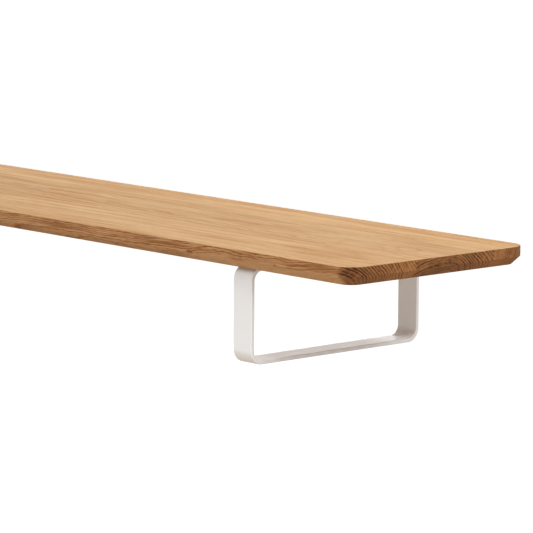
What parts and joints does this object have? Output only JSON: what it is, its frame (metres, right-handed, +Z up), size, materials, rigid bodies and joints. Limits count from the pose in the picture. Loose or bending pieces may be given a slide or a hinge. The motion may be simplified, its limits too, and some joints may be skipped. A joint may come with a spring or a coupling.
{
  "type": "wall shelf with brackets",
  "caption": "Long oak wall shelf board with rounded corners and a bevelled underside, on closed loop brackets of powder-coated flat steel bar.",
  "frame": {"origin": "middle of the footprint, level with the flat underside of the two loops", "axes": "+X along the board, +Y towards the wall, +Z up through the board's top face"},
  "size_m": [1.4, 0.29, 0.138],
  "materials": {
    "oak": "matt oiled",
    "bracket_coat": "satin powder coat",
    "zinc_steel": "zinc plated",
    "insert_alloy": "as cast and plated"
  },
  "bodies": {
    "root": {"stave_front": "oak", "stave_middle": "oak", "stave_rear": "oak", "loop_left": "bracket_coat", "loop_right": "bracket_coat", "insert_left_front": "insert_alloy", "insert_left_middle": "insert_alloy", "insert_left_rear": "insert_alloy", "insert_right_front": "insert_alloy", "insert_right_middle": "insert_alloy", "insert_right_rear": "insert_alloy", "washer_left_front": "zinc_steel", "washer_left_middle": "zinc_steel", "washer_left_rear": "zinc_steel", "washer_right_front": "zinc_steel", "washer_right_middle": "zinc_steel", "washer_right_rear": "zinc_steel", "screw_left_front": "zinc_steel", "screw_left_middle": "zinc_steel", "screw_left_rear": "zinc_steel", "screw_right_front": "zinc_steel", "screw_right_middle": "zinc_steel", "screw_right_rear": "zinc_steel"}
  },
  "joints": []
}
